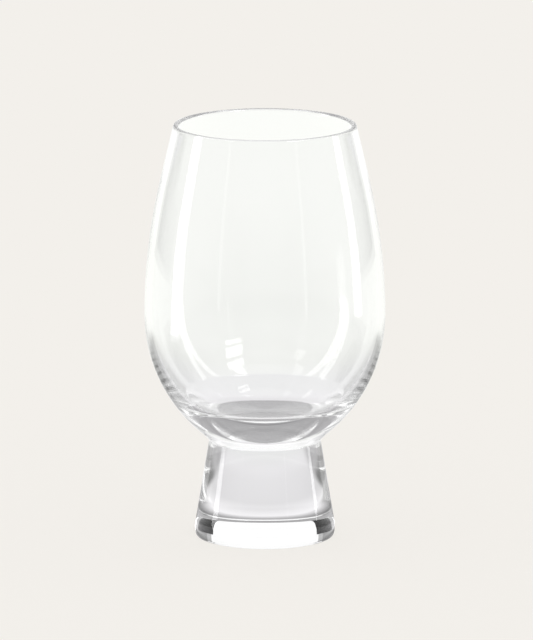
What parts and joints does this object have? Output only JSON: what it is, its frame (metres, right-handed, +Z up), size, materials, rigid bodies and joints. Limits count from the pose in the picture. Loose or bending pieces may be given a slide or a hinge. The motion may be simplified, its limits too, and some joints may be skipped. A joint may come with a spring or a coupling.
{
  "type": "footed beer glass",
  "caption": "Clear footed beer glass: an egg-shaped bowl with an inward-leaning rim, fused to a short solid tapered foot.",
  "frame": {"origin": "centre of the base, on the surface that the glass stands on", "axes": "+Z up along the axis of revolution, from the foot to the mouth; X and Y are alike"},
  "size_m": [0.0864, 0.0864, 0.15],
  "materials": {
    "clear_glass": "clear polished glass"
  },
  "bodies": {
    "root": {"bowl": "clear_glass", "foot": "clear_glass"}
  },
  "joints": []
}
